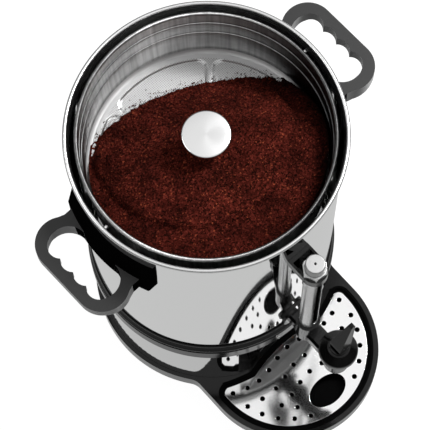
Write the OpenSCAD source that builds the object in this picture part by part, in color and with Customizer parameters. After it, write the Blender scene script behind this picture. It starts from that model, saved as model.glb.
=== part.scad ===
// Round-filter coffee urn: a steel tank on a skirted base, with a lift-out
// filter basket, a sight gauge, a lever tap and a perforated drip tray.
// Millimetres, +Z up, front (tap side) towards -Y, origin on the table.

/* [Tank] */
// Height of the rolled rim above the table
overall_h = 490; // [460:1:520]
// Outside radius of the tank wall
tank_r = 132.8; // [126:0.1:140]
// Thickness of the tank sheet
tank_wall = 1; // [0.8:0.1:1.2]
// Radius of the rolled bead at the rim
bead_r = 2.2; // [1.8:0.1:2.6]
// How far the rim stands out from the tank wall
bead_out = 5.2; // [4.6:0.1:6]
// Height over which the wall flares out to the rim
flare_h = 10; // [8:1:14]
// Height of the underside of the tank floor
tank_floor_z = 176; // [172:1:180]
// Bottom corner radius of the tank
tank_corner_r = 8; // [6:1:10]
// Radius of the pump well in the tank floor
well_r = 30; // [28:1:34]
// Depth of the pump well
well_depth = 6; // [4:1:8]

/* [Trim band and skirt] */
// How far the black band stands out from the tank
band_out = 4.2; // [3.2:0.1:6]
// Depth of the lower edge of the band under the tank floor
band_drop = 37; // [34:1:42]
// Height of the plain face of the band
band_face_h = 21; // [17:1:23]
// Radius of the two rounded ridges over the plain face
ridge_r = 5.6; // [5:0.1:6]
// Thickness of the ledge that carries the tank
ledge_t = 4; // [3:0.5:5]
// Thickness of the skirt sheet
skirt_wall = 1; // [0.8:0.1:1.2]
// Gap between the drip plate's back edge and the niche's wall
niche_gap = 10.2; // [9.5:0.1:11]
// Height of the plain strip between the niche and the band
niche_drop = 9.5; // [8:0.5:20]
// Half width of the window for the control panel
panel_half_w = 30; // [29:0.5:34]
// Height of the steel left above and below the window
panel_edge = 14; // [10:1:20]
// Depth of the control face behind the niche's wall
panel_in = 1.7; // [1.2:0.1:2.5]
// Wall of the moulded control panel
panel_wall = 2.6; // [2:0.1:3]

/* [Base and drip tray] */
// How far the base ring stands out from the tank
base_out = 4.8; // [3.6:0.1:7]
// Height of the top of the base ring
base_h = 25.7; // [24:0.1:28]
// Width of the base ring
base_ring_w = 15.6; // [13:0.1:20]
// Height of the rubber feet under the ring
foot_h = 2; // [1.5:0.5:4]
// Radius of the round nose of the drip plate
nose_r = 92; // [88:1:96]
// Depth of the centre of the nose behind the tank wall
nose_in = 1.3; // [-3:0.1:6]
// Radius of the shoulders of the plate beside the tongue
shoulder_r = 212; // [205:1:220]
// Radius of the tongue that reaches into the recess
tongue_r = 184; // [176:1:192]
// How far the tongue reaches in behind the tank wall
tongue_in = 9.1; // [8:0.1:10]
// How far the shoulders lie in front of the nose's centre
shoulder_out = 5.5; // [4:0.1:7]
// Radius of the plate's two back corners
plate_corner_r = 7; // [5:0.5:9]
// Radius of the fillets between tray holder and ring
cove_r = 20; // [16:1:24]
// Distance from plate edge to the inside of the tray
plate_gap = 4; // [3:0.5:5]
// Wall of the drip tray
tray_wall = 2.8; // [2.4:0.1:3.2]
// Wall of the tray holder
holder_wall = 5.9; // [5:0.1:7]
// Thickness of floors in the base and the tray
base_floor = 2.5; // [2:0.1:3]
// Depth of the plate under the rim of the tray
plate_drop = 1.9; // [1.5:0.1:2.5]
// Thickness of the drip plate
plate_t = 1; // [0.8:0.1:1.5]
// Diameter of the drain holes
drain_d = 5; // [4:0.5:6]
// Spacing of the drain holes across the plate
drain_pitch = 17; // [15:0.1:18]
// Distance from the plate's edge to the outer row of drain holes
drain_edge = 8.4; // [7:0.1:10]
// Swing of the wavy rows of drain holes
drain_wave = 4; // [0:0.5:5]
// Width of the oval finger hole
finger_w = 48.6; // [40:0.1:52]
// Front to back size of the oval finger hole
finger_l = 31.4; // [26:0.1:34]
// Distance from the nose's centre to the middle of the finger hole
finger_out = 67.4; // [62:0.1:68]

/* [Handles] */
// How far the grip stands out from the tank wall
grip_out = 59; // [55:0.1:63]
// Depth of the grip's top face under the rim
handle_drop = 58; // [50:1:90]
// Turn of the pair of handles from square to the tap
handle_turn = 1.2; // [0:0.1:2]
// Thickness of the grip
grip_t = 14; // [12:1:18]
// Depth of the arms where they meet the bracket
arm_depth = 24; // [22:1:30]
// Outer corner radius of the loop
loop_r = 27; // [25:0.5:29]
// Width of the loop arms at the corners
loop_w = 13; // [11:0.5:14]
// Spacing of the finger grooves
finger_pitch = 18.8; // [17:0.1:19]
// Radius of the finger grooves
groove_r = 13; // [11:0.1:14]
// Width of the grip at the bottom of a finger groove
grip_w = 11; // [10:0.5:12]
// Thickness of the bracket against the tank
bracket_t = 11.2; // [10:0.1:13]
// Half length of the bracket along the tank
bracket_half = 57; // [54:1:60]
// Height of the bracket under the grip's top face
bracket_drop = 32; // [30:1:36]
// Height of the sloping top of the bracket
bracket_rise = 30; // [24:1:34]

/* [Sight gauge] */
// Distance from the tank wall to the axis of the gauge
gauge_out = 23.2; // [22:0.1:26]
// Outside radius of the guard tube
guard_r = 10; // [9.5:0.1:10.5]
// Wall of the guard tube
guard_wall = 0.8; // [0.6:0.1:1]
// Outside radius of the gauge glass
glass_r = 6; // [5:0.1:6.5]
// Wall of the gauge glass
glass_wall = 1.4; // [1:0.1:1.6]
// Depth of the top of the bracket arm under the rim
arm_drop = 68.5; // [60:0.5:100]
// Thickness of the bracket arm
arm_t = 13; // [11:1:16]
// Half width of the bracket arm
arm_half_w = 13.6; // [13:0.1:15]
// Width of the sight slot
slot_w = 7; // [6:0.5:8]
// Height of the hexagon nut
nut_h = 8.5; // [7:0.5:12]
// Size of the hexagon nut across its flats
nut_af = 23; // [22.5:0.1:25]
// Radius of the screw cap
cap_r = 9.9; // [9.2:0.1:10.4]
// Height of the screw cap
cap_h = 13; // [11:1:16]

/* [Tap] */
// Height of the tap shank over the underside of the tank
shank_rise = 24; // [22:0.5:26]
// Half width of the square shank
shank_half = 10; // [9.5:0.1:10.5]
// Radius of the waterway
way_r = 5; // [4:0.5:5.5]
// Distance from the tank wall to the axis of the spout
tap_out = 69.8; // [67:0.1:74]
// Radius of the flange against the tank
flange_r = 17; // [16:0.5:18]
// Height of the gauge cup over the tap shank
cup_rise = 30; // [26:1:34]
// Outside radius of the gauge cup
cup_r = 13; // [12.5:0.1:14]
// Outside radius of the tap barrel
barrel_r = 14; // [13.5:0.5:15]
// Height of the barrel over the tap shank
barrel_rise = 35; // [28:1:38]
// Depth of the end of the spout under the tap shank
spout_drop = 34; // [30:1:38]
// Outside radius of the spout
spout_r = 10; // [9:0.5:11]
// Radius of the round bonnet
bonnet_r = 20.8; // [19:0.1:22]
// Radius of the valve stem
stem_r = 3; // [2.6:0.1:3.4]
// Height of the lever pin over the barrel
pin_rise = 24; // [24:0.5:26]
// Rise of the lever tip above its pin
lever_rise = 41; // [34:1:46]
// Reach of the lever tip to the side
lever_reach = 15.4; // [13:0.1:20]
// Radius of the lever pin
lever_pin_r = 1.5; // [1.3:0.1:1.7]
// Lift of the valve when the lever is pressed down
valve_lift = 3.5; // [3:0.1:4]

/* [Filter basket] */
// Gap between the basket rim and the tank wall
rim_gap = 4.7; // [3.5:0.1:6]
// Radius of the rolled basket rim
basket_bead_r = 2.15; // [1.8:0.05:2.4]
// Depth of the basket rim under the tank rim
basket_drop = 1; // [1:0.5:8]
// Depth of the basket
basket_depth = 87; // [80:1:92]
// How far the basket narrows towards its floor
basket_taper = 6.1; // [5:0.1:9]
// Corner radius of the basket floor
basket_corner_r = 5; // [4:0.5:7]
// Thickness of the basket sheet
basket_sheet = 0.8; // [0.6:0.1:1]
// Height of the ridges pressed into the floor
rib_h = 1.2; // [0.8:0.1:1.6]
// Radius of the hub opening
hub_r = 8; // [7.8:0.1:8.4]
// Height of the hub
hub_h = 22; // [18:1:26]
// Height of the coffee over the basket floor
heap_h = 60; // [50:1:62]

/* [Riser] */
// Outside radius of the riser tube
riser_r = 7; // [6.5:0.1:7.3]
// Wall of the riser tube
riser_wall = 1; // [0.8:0.1:1.2]
// Radius of the collar that carries the basket
collar_r = 17; // [14:1:20]
// Radius of the pump foot
foot_r = 26; // [24:0.5:27]
// Radius of the round cap on the riser
riser_cap_r = 24.1; // [20:0.1:26]
// Thickness of the rim of the riser cap
riser_cap_t = 4; // [3:0.5:5]
// Depth of the socket under the riser cap
cap_socket = 14; // [10:1:18]

/* [Electrics] */
// Radius of the cast heater plate
heater_r = 62; // [55:1:70]
// Thickness of the heater plate
heater_t = 9; // [7:1:11]
// Width of the rocker switch opening
rocker_w = 21; // [18:1:24]
// Height of the rocker switch opening
rocker_h = 18; // [14:1:20]
// Radius of the pilot lamps
lamp_r = 4; // [3:0.5:5]
// Depth of the pilot lamps behind the control face
lamp_depth = 14; // [10:1:18]
// Width of the mains inlet opening
inlet_w = 28; // [26:1:30]
// Height of the mains inlet opening
inlet_h = 20; // [18:1:22]
// Height of the middle of the mains inlet
inlet_z = 62; // [56:1:70]

/* [Clearances] */
// Gap between pieces that are fixed together
fit = 0.1; // [0.05:0.01:0.15]
// Gap between lift-out pieces and their seats
seat = 0.2; // [0.15:0.05:0.3]
// Gap round lift-out pieces
slack = 0.3; // [0.2:0.05:0.4]
// Radial gap of shafts and pins that turn or slide
running = 0.05; // [0.03:0.01:0.08]

/* [Hidden] */
$fn = 96;
eps = 0.01;

steel = [0.78, 0.78, 0.79];
black = [0.07, 0.07, 0.07];
graphite = [0.16, 0.16, 0.16];

far = 3 * tank_r;
rim_r = tank_r + bead_out;
tank_in_r = tank_r - tank_wall;
band_r = tank_r + band_out;
band_z = tank_floor_z - band_drop;
niche_top = band_z - niche_drop;
panel_z0 = base_h + panel_edge;
panel_z1 = niche_top - panel_edge;
base_r = tank_r + base_out;
base_bore_r = base_r - base_ring_w;
nose_y = tank_r - nose_in;
tongue_back = tank_r - tongue_in;
panel_face_y = tongue_back - niche_gap - panel_in;
shoulder_back = shoulder_r - nose_y - shoulder_out;
grip_x = tank_r + grip_out;
handle_top = overall_h - handle_drop;
gauge_y = tank_r + gauge_out;
arm_top = overall_h - arm_drop;
shank_z = tank_floor_z + shank_rise;
tap_y = tank_r + tap_out;
cup_top = shank_z + cup_rise;
barrel_top = shank_z + barrel_rise;
spout_z = shank_z - spout_drop;
lever_z = barrel_top + pin_rise;
basket_rim_r = tank_in_r - rim_gap;
basket_top = overall_h - basket_drop;
basket_floor_r = basket_rim_r - basket_taper;
floor_top = tank_floor_z + tank_wall;
well_top = floor_top - well_depth;
skirt_in_r = tank_r - skirt_wall;
skirt_z = base_h - 5.7;
skirt_top = tank_floor_z - ledge_t - fit;
band_in_r = tank_r + fit;
ridge_z = [band_z + band_face_h + ridge_r + 0.4, band_z + band_face_h + 3 * ridge_r];
tray_clear = slack;
tray_out = plate_gap + tray_wall;
pocket_out = tray_out + tray_clear;
holder_out = pocket_out + holder_wall;
ring_out = niche_gap + skirt_wall + 2.4;
holder_half = nose_r + holder_out;
holder_floor_top = foot_h + base_floor;
tray_z = holder_floor_top + seat;
plate_top = base_h - plate_drop;
plate_z = plate_top - plate_t;
ledge_z = plate_z - seat;
groove_x = grip_x - grip_w - groove_r;
loop_x = grip_x - loop_r;
loop_y = 1.5 * finger_pitch + 0.4;
handle_z = handle_top - grip_t;
bolt_y = 24;
bolt_z = handle_top - 13;
bolt_r = 2.4;
guard_z = cup_top - 12;
spigot_y = tank_r - 33;
seal_r = 15;
shank_nut_r = 13.5;
shank_nut_t = 8;
stud_l = 2.4;
stud_drop = 14;
bolt_head_r = 4.4;
bolt_head_t = 3;
screw_x = 9;
screw_r = 2;
screw_head_r = 3.8;
screw_head_t = 2.4;
nut_z = arm_top + fit;
cap_z = nut_z + nut_h + fit;
guard_top = cap_z - fit;
glass_z = guard_z - 4;
glass_top = cap_z - 4;
shank_bore_r = 8;
seal_t = 2;
cam_r = 6.6;
cam_turn = 50;
cam_rate = valve_lift * 180 / (PI * cam_turn);
rocker_tilt = 9;
tail_r = 7;
tail_y = gauge_y + 6;
socket_y = gauge_y + 16;
seat_z = shank_z - 14;
chamber_r = 9;
bonnet_z = barrel_top - 6;
ring_z = barrel_top + 14;
ring_t = lever_z - cam_r - slack - ring_z;
spring_top = barrel_top + fit;
basket_floor = basket_top - basket_depth;
basket_in_r = basket_rim_r - 2 * basket_bead_r;
collar_z = basket_floor - basket_sheet - seat;
riser_z = well_top + seat;
riser_top = basket_top - 9;
cap_seat = riser_top + seat;
heap_run = heap_h / tan(35);
heap_edge = 72;
heap_turn = 68;
cover_z = foot_h + 1;
cover_t = 1.2;
rod_r = 3;
rod_ring = base_bore_r - 22;
nut_r = 6.3;
nut_t = 5;
sensor_x = heater_r + 22;
sensor_y = 20;
foot_rim = 6;
valve_z = riser_z + foot_rim;
valve_t = 1.5;
valve_hole_r = 2.5;
drain_x = [[0, 1, 2, 3, 3.92], [0.5, 1.5, 2.5, 3.67], [0, 1, 2, 3], [2.3]];
drain_y = [0, 1.18, 2.29, 3.13];
rim_drain = [-1.9, 13.7, 26.7, 39.7, 52.7, 65.8];
rod_angles = [90, 210, 330];

// ---------- shapes that several pieces share ----------

module tube(outer, inner, z0, z1) {
    translate([0, 0, z0]) difference() {
        cylinder(r = outer, h = z1 - z0);
        translate([0, 0, -1]) cylinder(r = inner, h = z1 - z0 + 2);
    }
}

// Rod along Y from y0 to y1 at height z and side place x.
module rod_y(r, y0, y1, z, x = 0) {
    translate([x, y1, z]) rotate([90, 0, 0]) cylinder(r = r, h = y1 - y0);
}

// Box between two corners.
module box(a, b) {
    translate(a) cube(b - a);
}

// Plan of the drip plate, grown outwards by g on every edge.
module tray_plan(g) {
    half = nose_r + g;
    corner = plate_corner_r + g;
    sr = shoulder_r - g;
    cy = shoulder_back - sqrt(pow(sr + corner, 2) - pow(half - corner, 2));
    intersection() {
        union() {
            translate([0, -nose_y]) circle(r = half);
            translate([-half, -nose_y]) square([2 * half, nose_y / 2]);
        }
        union() {
            difference() {
                translate([-far / 2, -far]) square(far);
                translate([0, shoulder_back]) circle(r = sr, $fn = 240);
            }
            translate([0, -tongue_back - tongue_r]) circle(r = tongue_r + g, $fn = 240);
        }
        difference() {
            translate([-far / 2, -far]) square(far);
            for (s = [-1, 1]) difference() {
                translate([s * (half + corner / 2), cy + 2 * corner])
                    square([3 * corner, 4 * corner], center = true);
                translate([s * (half - corner), cy]) circle(r = corner);
            }
        }
    }
}

// Plan of the base: ring, tray holder and the coves between them, pulled in by g.
module base_plan(g) {
    cove_x = holder_half + cove_r;
    cove_y = -sqrt(pow(base_r + cove_r, 2) - pow(cove_x, 2));
    touch = [cove_x, cove_y] * base_r / (base_r + cove_r);
    circle(r = base_r - g, $fn = 200);
    translate([0, -nose_y]) circle(r = holder_half - g, $fn = 160);
    translate([-(holder_half - g), -nose_y]) square([2 * (holder_half - g), nose_y + cove_y]);
    for (s = [0, 1]) mirror([s, 0]) difference() {
        polygon([[nose_r / 2, cove_y - 8], [holder_half - g, cove_y - 8], [holder_half - g, cove_y],
            [cove_x, cove_y], touch, [nose_r / 2, -nose_y / 2]]);
        translate([cove_x, cove_y]) circle(r = cove_r + g);
    }
}

// Outline of a handle loop seen from above, for the right-hand side.
module loop_plan() {
    root = loop_y + loop_r - 6.5;
    shoulder = loop_y + loop_r - 0.3;
    foot = tank_r + bracket_t;
    difference() {
        union() {
            for (s = [-1, 1]) translate([loop_x, s * loop_y]) circle(r = loop_r);
            translate([loop_x - 5, -loop_y]) square([loop_r + 5, 2 * loop_y]);
            polygon([[tank_r - 4, -root], [foot, -root], [loop_x - 4, -shoulder],
                [loop_x - 4, shoulder], [foot, root], [tank_r - 4, root]]);
        }
        grip_opening();
    }
}

// Opening of the loop with its four finger grooves.
module grip_opening() {
    inner = loop_r - loop_w;
    heel = inner + 5.6;
    for (i = [-1.5:1:1.5]) translate([groove_x, i * finger_pitch]) circle(r = groove_r);
    for (s = [-1, 1]) {
        translate([loop_x, s * loop_y]) circle(r = inner);
        intersection() {
            translate([loop_x - 2.5, s * (loop_y - 5.6)]) circle(r = heel);
            translate([tank_r, -loop_y - loop_r]) square([loop_x - tank_r, 2 * loop_y + 2 * loop_r]);
        }
    }
    translate([tank_r + 8, 6 - loop_y]) square([groove_x - tank_r - 8, 2 * loop_y - 12]);
}

// ---------- body ----------

module tank() {
    color(steel) difference() {
        rotate_extrude($fn = 200) {
            translate([rim_r - bead_r, overall_h - bead_r]) circle(r = bead_r, $fn = 32);
            polygon([[tank_in_r, overall_h - bead_r - flare_h], [tank_r, overall_h - bead_r - flare_h],
                [rim_r - bead_r + 0.8, overall_h - bead_r], [rim_r - bead_r - 0.8, overall_h - bead_r]]);
            translate([tank_in_r, tank_floor_z + tank_corner_r])
                square([tank_wall, overall_h - bead_r - flare_h - tank_floor_z - tank_corner_r]);
            intersection() {
                translate([tank_r - tank_corner_r, tank_floor_z]) square(tank_corner_r);
                translate([tank_r - tank_corner_r, tank_floor_z + tank_corner_r]) difference() {
                    circle(r = tank_corner_r, $fn = 48);
                    circle(r = tank_corner_r - tank_wall, $fn = 48);
                }
            }
            polygon([[0, well_top - tank_wall], [well_r, well_top - tank_wall], [well_r, tank_floor_z],
                [tank_r - tank_corner_r, tank_floor_z], [tank_r - tank_corner_r, floor_top],
                [well_r - tank_wall, floor_top], [well_r - tank_wall, well_top], [0, well_top]]);
        }
        rod_y(shank_bore_r + fit, -tank_r - 5, -spigot_y, shank_z);
        for (s = [-1, 1]) rod_y(screw_r + fit, -tank_r - 5, -spigot_y, arm_top - arm_t / 2, s * screw_x);
        for (s = [-1, 1]) rotate([0, 0, handle_turn - 90]) rod_y(bolt_r + fit, -far, far, bolt_z, s * bolt_y);
    }
}

module trim_band() {
    color(black) rotate_extrude($fn = 200) {
        translate([band_in_r, band_z]) square([band_r - band_in_r, band_face_h]);
        intersection() {
            translate([band_in_r, band_z]) square(band_drop + 3 * ridge_r);
            union() {
                translate([band_r - ridge_r, ridge_z[0]]) circle(r = ridge_r, $fn = 48);
                translate([band_r - ridge_r - 2.2, ridge_z[1]]) circle(r = ridge_r, $fn = 48);
                translate([band_in_r, band_z]) square([2, band_face_h + 2.2 * ridge_r]);
            }
        }
        translate([tank_r - tank_corner_r - 4, tank_floor_z - ledge_t])
            square([band_in_r - tank_r + tank_corner_r + 4 + eps, ledge_t]);
    }
}

// Space in front of a wall that keeps the gap g to the drip plate's edge, up to z1.
module niche(g, z1) {
    translate([0, 0, -1]) linear_extrude(z1 + 1) tray_plan(g);
}

// One sheet: a cylinder whose front is drawn in to a niche that follows the drip plate.
module base_skirt() {
    color(steel) difference() {
        translate([0, 0, skirt_z]) cylinder(r = tank_r, h = skirt_top - skirt_z, $fn = 200);
        niche(niche_gap, niche_top);
        difference() {
            translate([0, 0, skirt_z - 1]) cylinder(r = skirt_in_r, h = skirt_top - skirt_z + 2, $fn = 200);
            niche(niche_gap + skirt_wall, niche_top + skirt_wall);
        }
        box([-panel_half_w, -tank_r, panel_z0], [panel_half_w, -tank_r / 2, panel_z1]);
        box([-inlet_w / 2 - fit, tank_r / 2, inlet_z - inlet_h / 2 - fit],
            [inlet_w / 2 + fit, tank_r + 5, inlet_z + inlet_h / 2 + fit]);
    }
}

// The panel lies behind the sheet of the niche and shows through its window.
module front_panel() {
    w = panel_half_w + 4;
    inner_y = -panel_face_y + panel_wall;
    color(black) difference() {
        box([-w, -tank_r, panel_z0 - 4], [w, inner_y, panel_z1 + 4]);
        niche(niche_gap + skirt_wall + fit, niche_top + 4);
        box([-panel_half_w - 1, -tank_r - 1, panel_z0 - 1], [panel_half_w + 1, -panel_face_y, panel_z1 + 1]);
        box([-rocker_w / 2, -tank_r, rocker_centre_z() - rocker_h / 2],
            [rocker_w / 2, 0, rocker_centre_z() + rocker_h / 2]);
        for (s = [-1, 1]) rod_y(lamp_r + fit, -tank_r, -tank_r / 2, rocker_centre_z(), s * lamp_x());
    }
}

function rocker_centre_z() = (panel_z0 + panel_z1) / 2;
function lamp_x() = rocker_w / 2 + lamp_r + 9;

module base_ring() {
    z0 = foot_h;
    color(black) difference() {
        translate([0, 0, z0]) linear_extrude(base_h - z0) base_plan(0);
        difference() {
            translate([0, 0, z0 - 1]) cylinder(r = base_bore_r, h = base_h, $fn = 200);
            translate([0, 0, z0 - 2]) linear_extrude(base_h + 2) tray_plan(ring_out);
        }
        translate([0, 0, holder_floor_top]) linear_extrude(base_h) tray_plan(pocket_out);
        translate([0, 0, skirt_z - fit]) linear_extrude(base_h) difference() {
            circle(r = tank_r + fit, $fn = 200);
            tray_plan(niche_gap - fit);
            difference() {
                circle(r = skirt_in_r - fit, $fn = 200);
                tray_plan(niche_gap + skirt_wall + fit);
            }
        }
        for (a = [45, 135, 225, 315]) rotate([0, 0, a])
            translate([base_bore_r + 4, 0, z0 - 1]) cylinder(r = 1.5, h = 12);
    }
}

module bottom_cover() {
    color([0.3, 0.3, 0.31]) translate([0, 0, cover_z]) difference() {
        intersection() {
            cylinder(r = base_bore_r - fit, h = cover_t, $fn = 200);
            box([-far, -front_clear(), -1], [far, far, 10]);
        }
        for (a = rod_angles) rotate([0, 0, a]) translate([rod_ring, 0, -1]) cylinder(r = rod_r + fit, h = 5);
        for (x = [-40:16:40]) for (y = [-20, 20]) box([x - 2.5, y - 12, -1], [x + 2.5, y + 12, 5]);
    }
}

// Distance from the axis to the back of the tray pocket's wall.
function front_clear() = tongue_back - ring_out - 1;

module rubber_feet() {
    color(graphite) for (a = [50, 130, 180 + 62, 360 - 62]) rotate([0, 0, a])
        translate([(base_r + base_bore_r) / 2, 0, 0]) cylinder(r = 6.5, h = foot_h);
    color(graphite) for (s = [-1, 1])
        translate([s * (nose_r - 32), -nose_y - nose_r + 30, 0]) cylinder(r = 6.5, h = foot_h);
}

// ---------- drip tray ----------

module drip_tray() {
    color(black) difference() {
        translate([0, 0, tray_z]) linear_extrude(base_h - tray_z) tray_plan(tray_out);
        translate([0, 0, tray_z + base_floor]) linear_extrude(base_h) tray_plan(plate_gap - 6);
        translate([0, 0, ledge_z]) linear_extrude(base_h) tray_plan(plate_gap);
    }
}

// Place of a row of drain holes at side place x, which swings with the plate's back edge.
function drain_line(x, row) = nose_y + 2.1 + row * drain_pitch - drain_wave * cos(3.75 * x);

module drip_plate() {
    color(steel) difference() {
        translate([0, 0, plate_z]) linear_extrude(plate_t) tray_plan(0);
        translate([0, 0, plate_z - 1]) {
            for (row = [0:3]) for (i = drain_x[row]) for (s = i > 0 ? [-1, 1] : [1])
                translate([s * i * drain_pitch, -drain_line(i * drain_pitch, drain_y[row])])
                    cylinder(r = drain_d / 2, h = plate_t + 2, $fn = 24);
            for (a = rim_drain) for (s = [-1, 1])
                translate([s * (nose_r - drain_edge) * cos(a), -nose_y - (nose_r - drain_edge) * sin(a)])
                    cylinder(r = drain_d / 2, h = plate_t + 2, $fn = 24);
            translate([0, -nose_y - finger_out, 0]) linear_extrude(plate_t + 2)
                polygon([for (a = [0:6:354]) [finger_w / 2 * cos(a), finger_l / 2 * sin(a)]]);
        }
    }
}

// ---------- handles ----------

module handle(turn) {
    inner_r = tank_r + fit;
    outer_r = inner_r + bracket_t;
    low = handle_top - bracket_drop;
    color(graphite) rotate([0, 0, turn]) difference() {
        union() {
            intersection() {
                translate([0, 0, low]) linear_extrude(handle_top - low) loop_plan();
                translate([0, tank_r, 0]) rotate([90, 0, 0]) linear_extrude(2 * tank_r)
                    polygon([[tank_r / 2, handle_top - arm_depth], [outer_r + 2, handle_top - arm_depth],
                        [groove_x + groove_r, handle_z], [grip_x + 1, handle_z], [grip_x + 1, handle_top + 1],
                        [tank_r / 2, handle_top + 1]]);
            }
            intersection() {
                rotate([0, 0, -40]) rotate_extrude(angle = 80, $fn = 200)
                    polygon([[inner_r - 4, low], [outer_r - 2, low], [outer_r, low + 3], [outer_r, handle_top - 1],
                        [inner_r + 3, handle_top + bracket_rise], [inner_r - 4, handle_top + bracket_rise]]);
                box([0, -bracket_half, 0], [grip_x, bracket_half, overall_h]);
            }
        }
        translate([0, 0, low - 1]) cylinder(r = inner_r, h = 200, $fn = 200);
        for (s = [-1, 1]) rotate([0, 0, 90])
            rod_y(bolt_r + fit, -outer_r + 1, 5 - inner_r, bolt_z, s * bolt_y);
    }
}

module handle_left() { handle(180 + handle_turn); }

module handle_right() { handle(handle_turn); }

module handle_bolts() {
    inside = sqrt(pow(tank_in_r, 2) - pow(bolt_y + bolt_head_r + 0.6, 2)) - fit;
    color(steel) for (a = [0, 180]) for (s = [-1, 1]) rotate([0, 0, a + handle_turn - 90]) {
        rod_y(bolt_r, -tank_r - bracket_t + 2, -inside, bolt_z, s * bolt_y);
        rod_y(bolt_head_r, -inside, -inside + bolt_head_t, bolt_z, s * bolt_y);
    }
}

module lid_lock_studs() {
    color(steel) for (a = [0, 180]) rotate([0, 0, a + handle_turn + 90]) {
        rod_y(bead_r, -tank_in_r + fit, -tank_in_r + stud_l, overall_h - stud_drop);
        translate([0, -tank_in_r + stud_l, overall_h - stud_drop]) sphere(r = bead_r, $fn = 32);
    }
}

// ---------- sight gauge ----------

module gauge_bracket() {
    z0 = arm_top - arm_t;
    hole = guard_r + fit;
    color(black) difference() {
        union() {
            translate([0, -gauge_y, z0]) cylinder(r = arm_half_w, h = arm_t);
            box([-arm_half_w, -gauge_y, z0], [arm_half_w, -spigot_y, arm_top]);
        }
        translate([0, -gauge_y, z0 - 1]) cylinder(r = hole, h = arm_t + 2);
        translate([0, 0, z0 - 1]) cylinder(r = tank_r + fit, h = arm_t + 2, $fn = 200);
        box([-arm_half_w + 2.6, -gauge_y + hole + 1.6, arm_top - 9], [arm_half_w - 2.6, -tank_r - 4.2, arm_top + 1]);
        for (s = [-1, 1]) rod_y(screw_r + fit, -tank_r - 10, -spigot_y, arm_top - arm_t / 2, s * screw_x);
    }
}

module bracket_screws() {
    z = arm_top - arm_t / 2;
    color(steel) for (s = [-1, 1]) {
        inside = sqrt(pow(tank_in_r, 2) - pow(screw_x + screw_head_r, 2)) - fit;
        rod_y(screw_r, -tank_r - 4, -inside, z, s * screw_x);
        rod_y(screw_head_r, -inside, -inside + screw_head_t, z, s * screw_x);
    }
}

module gauge_guard() {
    color(steel) translate([0, -gauge_y, 0]) difference() {
        tube(guard_r, guard_r - guard_wall, guard_z + fit, guard_top);
        hull_slot(cup_top + 12, arm_top - arm_t - 12);
    }
}

// Upright slot with round ends through the front of the guard tube.
module hull_slot(z0, z1) {
    box([-slot_w / 2, -guard_r - 2, z0 + slot_w / 2], [slot_w / 2, 0, z1 - slot_w / 2]);
    for (z = [z0 + slot_w / 2, z1 - slot_w / 2]) rod_y(slot_w / 2, -guard_r - 2, 0, z);
}

module gauge_glass() {
    color([0.85, 0.9, 0.92, 0.4]) translate([0, -gauge_y, 0])
        tube(glass_r, glass_r - glass_wall, glass_z, glass_top);
}

module gauge_nut() {
    color(steel) translate([0, -gauge_y, nut_z]) difference() {
        intersection() {
            rotate([0, 0, -5]) cylinder(r = nut_af / sqrt(3), h = nut_h, $fn = 6);
            cylinder(r1 = nut_af / 2 + nut_h / 2, r2 = nut_af / 2 - 0.2, h = nut_h + 2);
        }
        translate([0, 0, -1]) cylinder(r = guard_r + fit, h = nut_h + 2);
    }
}

module gauge_cap() {
    bore = guard_r - guard_wall - fit;
    color(steel) translate([0, -gauge_y, 0]) difference() {
        rotate_extrude() {
            translate([0, cap_z]) square([cap_r - 1.2, cap_h]);
            translate([0, cap_z]) square([cap_r, cap_h - 1.2]);
            translate([cap_r - 1.2, cap_z + cap_h - 1.2]) circle(r = 1.2, $fn = 32);
            translate([0, cap_z - 9]) square([bore, 10]);
        }
        translate([0, 0, cap_z - 10]) cylinder(r = glass_r + fit, h = glass_top + fit - cap_z + 10);
        cylinder(r = 1.2, h = overall_h);
    }
}

module gauge_seals() {
    color(graphite) translate([0, -gauge_y, 0]) {
        tube(glass_r + 1.4, glass_r + fit, glass_z + fit, guard_z - fit);
        tube(glass_r - 0.2, way_r - 1.6, glass_z - 2, glass_z - fit);
    }
}

// ---------- tap ----------

module tap_shank() {
    color(black) difference() {
        union() {
            shank_block(-socket_y, -tank_r - 4);
            rod_y(flange_r, -tank_r - 5, -spigot_y, shank_z);
            translate([0, -gauge_y, shank_z - 13]) cylinder(r = cup_r, h = cup_top - shank_z + 13);
        }
        difference() {
            translate([0, 0, shank_z - 30]) cylinder(r = tank_r + seal_t + fit, h = 60, $fn = 200);
            rod_y(shank_bore_r, -tank_r - 5, -spigot_y + 1, shank_z);
        }
        translate([0, 0, shank_z - 30]) cylinder(r = spigot_y + 8, h = 60);
        rod_y(way_r, -gauge_y, -spigot_y + 10, shank_z);
        rod_y(tail_r + fit, -socket_y - 1, -tail_y, shank_z);
        rod_y(way_r, -tail_y - 1, -gauge_y, shank_z);
        translate([0, -gauge_y, shank_z]) cylinder(r = way_r - 1, h = 40);
        translate([0, -gauge_y, glass_z - 2]) cylinder(r = glass_r + 1.5, h = 60);
        translate([0, -gauge_y, guard_z]) cylinder(r = guard_r + fit, h = 60);
    }
}

// Square bar with chamfered edges along Y, round the waterway.
module shank_block(y0, y1) {
    c = 3;
    translate([0, y1, shank_z]) rotate([90, 0, 0]) linear_extrude(y1 - y0)
        polygon([for (q = [[1, 1], [-1, 1], [-1, -1], [1, -1]]) for (k = [0, 1])
            let (first = (q[0] * q[1] > 0) == (k == 0))
            [q[0] * (shank_half - (first ? 0 : c)), q[1] * (shank_half - (first ? c : 0))]]);
}

module shank_seals() {
    color([0.75, 0.75, 0.72]) translate([0, 0, shank_z]) intersection() {
        rod_y(seal_r, -tank_r - 5, -spigot_y, 0);
        difference() {
            union() {
                tube(tank_r + seal_t, tank_r + fit, -20, 20);
                tube(tank_in_r - fit, tank_in_r - seal_t, -20, 20);
            }
            rod_y(shank_bore_r + fit, -tank_r - 9, -spigot_y + 9, 0);
        }
    }
}

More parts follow.
